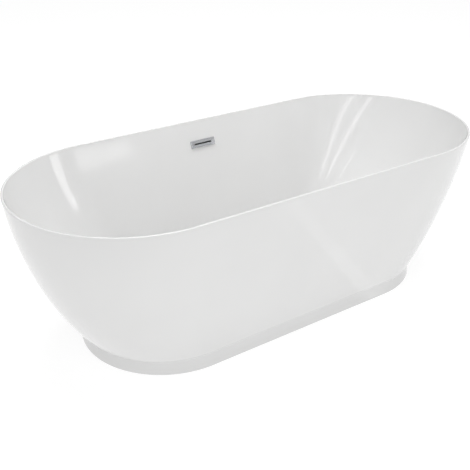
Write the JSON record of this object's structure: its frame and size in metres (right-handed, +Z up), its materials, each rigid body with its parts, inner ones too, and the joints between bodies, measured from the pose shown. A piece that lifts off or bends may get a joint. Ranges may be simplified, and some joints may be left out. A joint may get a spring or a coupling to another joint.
{
  "type": "freestanding bathtub",
  "caption": "Oval freestanding bath in white acrylic: thin rim, tapered skirt on a low plinth, slotted overflow, click-clack waste, hidden steel frame on levelling feet",
  "frame": {"origin": "on the floor, under the middle of the bath", "axes": "X along the bath, Y across it towards the wall with the overflow, Z up"},
  "size_m": [1.6994, 0.7586, 0.55],
  "materials": {
    "acrylic_white": "high gloss",
    "chrome": "polished",
    "adhesive": "cured bead",
    "plywood": "raw",
    "softwood": "sawn",
    "galvanised_steel": "galvanised",
    "zinc_steel": "zinc plated",
    "black_plastic": "moulded",
    "white_plastic": "moulded",
    "grey_hose": "corrugated",
    "rubber": "moulded",
    "brass": "turned"
  },
  "bodies": {
    "bath": {"inner_basin": "acrylic_white", "outer_shell": "acrylic_white", "rim_bond": "adhesive", "floor_board": "plywood", "rail_left": "galvanised_steel", "rail_right": "galvanised_steel", "cross_member_head": "galvanised_steel", "cross_member_middle": "galvanised_steel", "cross_member_foot": "galvanised_steel", "board_screws": "zinc_steel", "frame_screws": "zinc_steel", "weld_nuts": "zinc_steel", "lock_nuts": "zinc_steel", "waste_flange": "chrome", "flange_gasket": "rubber", "lower_gasket": "rubber", "click_cartridge": "brass", "waste_body": "white_plastic", "overflow_cover": "chrome", "overflow_gasket": "rubber", "overflow_body": "black_plastic", "overflow_hose": "grey_hose", "hose_nut_upper": "white_plastic", "hose_nut_lower": "white_plastic", "trap_nut": "white_plastic", "trap_canister": "white_plastic", "trap_lid": "white_plastic", "trap_baffle": "white_plastic", "outlet_elbow": "white_plastic", "anchor_block_1": "softwood", "anchor_block_2": "softwood", "anchor_block_3": "softwood", "anchor_block_4": "softwood", "anchor_block_5": "softwood", "anchor_block_6": "softwood"},
    "plug": {"plug_cap": "chrome", "plug_stem": "brass", "plug_seal": "rubber"},
    "foot_1": {"foot_pad_1": "black_plastic"},
    "stud_1": {"foot_stud_1": "zinc_steel"},
    "foot_2": {"foot_pad_2": "black_plastic"},
    "stud_2": {"foot_stud_2": "zinc_steel"},
    "foot_3": {"foot_pad_3": "black_plastic"},
    "stud_3": {"foot_stud_3": "zinc_steel"},
    "foot_4": {"foot_pad_4": "black_plastic"},
    "stud_4": {"foot_stud_4": "zinc_steel"},
    "foot_5": {"foot_pad_5": "black_plastic"},
    "stud_5": {"foot_stud_5": "zinc_steel"},
    "foot_6": {"foot_pad_6": "black_plastic"},
    "stud_6": {"foot_stud_6": "zinc_steel"}
  },
  "joints": [
    {"name": "plug_press", "type": "slide", "parent": "bath", "child": "plug", "axis": [0, 0, -1], "range_m": [0, 0.009]},
    {"name": "foot_1_height", "type": "slide", "parent": "bath", "child": "foot_1", "axis": [0, 0, -1], "range_m": [-0.006, 0.012]},
    {"name": "stud_1_turn", "type": "hinge", "parent": "foot_1", "child": "stud_1", "pos_m": [0.47, -0.2, 0.03], "axis": [0, 0, 1], "range_deg": [-1235.29, 2469.57]},
    {"name": "foot_2_height", "type": "slide", "parent": "bath", "child": "foot_2", "axis": [0, 0, -1], "range_m": [-0.006, 0.012]},
    {"name": "stud_2_turn", "type": "hinge", "parent": "foot_2", "child": "stud_2", "pos_m": [0.47, 0.2, 0.03], "axis": [0, 0, 1], "range_deg": [-1235.29, 2469.57]},
    {"name": "foot_3_height", "type": "slide", "parent": "bath", "child": "foot_3", "axis": [0, 0, -1], "range_m": [-0.006, 0.012]},
    {"name": "stud_3_turn", "type": "hinge", "parent": "foot_3", "child": "stud_3", "pos_m": [-0.13, -0.2, 0.03], "axis": [0, 0, 1], "range_deg": [-1235.29, 2469.57]},
    {"name": "foot_4_height", "type": "slide", "parent": "bath", "child": "foot_4", "axis": [0, 0, -1], "range_m": [-0.006, 0.012]},
    {"name": "stud_4_turn", "type": "hinge", "parent": "foot_4", "child": "stud_4", "pos_m": [-0.13, 0.2, 0.03], "axis": [0, 0, 1], "range_deg": [-1235.29, 2469.57]},
    {"name": "foot_5_height", "type": "slide", "parent": "bath", "child": "foot_5", "axis": [0, 0, -1], "range_m": [-0.006, 0.012]},
    {"name": "stud_5_turn", "type": "hinge", "parent": "foot_5", "child": "stud_5", "pos_m": [-0.47, -0.2, 0.03], "axis": [0, 0, 1], "range_deg": [-1235.29, 2469.57]},
    {"name": "foot_6_height", "type": "slide", "parent": "bath", "child": "foot_6", "axis": [0, 0, -1], "range_m": [-0.006, 0.012]},
    {"name": "stud_6_turn", "type": "hinge", "parent": "foot_6", "child": "stud_6", "pos_m": [-0.47, 0.2, 0.03], "axis": [0, 0, 1], "range_deg": [-1235.29, 2469.57]}
  ],
  "couplings": [
    {"joint": "stud_1_turn", "follows": "foot_1_height", "rad_per_m": 3590.4},
    {"joint": "stud_2_turn", "follows": "foot_2_height", "rad_per_m": 3590.4},
    {"joint": "stud_3_turn", "follows": "foot_3_height", "rad_per_m": 3590.4},
    {"joint": "stud_4_turn", "follows": "foot_4_height", "rad_per_m": 3590.4},
    {"joint": "stud_5_turn", "follows": "foot_5_height", "rad_per_m": 3590.4},
    {"joint": "stud_6_turn", "follows": "foot_6_height", "rad_per_m": 3590.4}
  ]
}
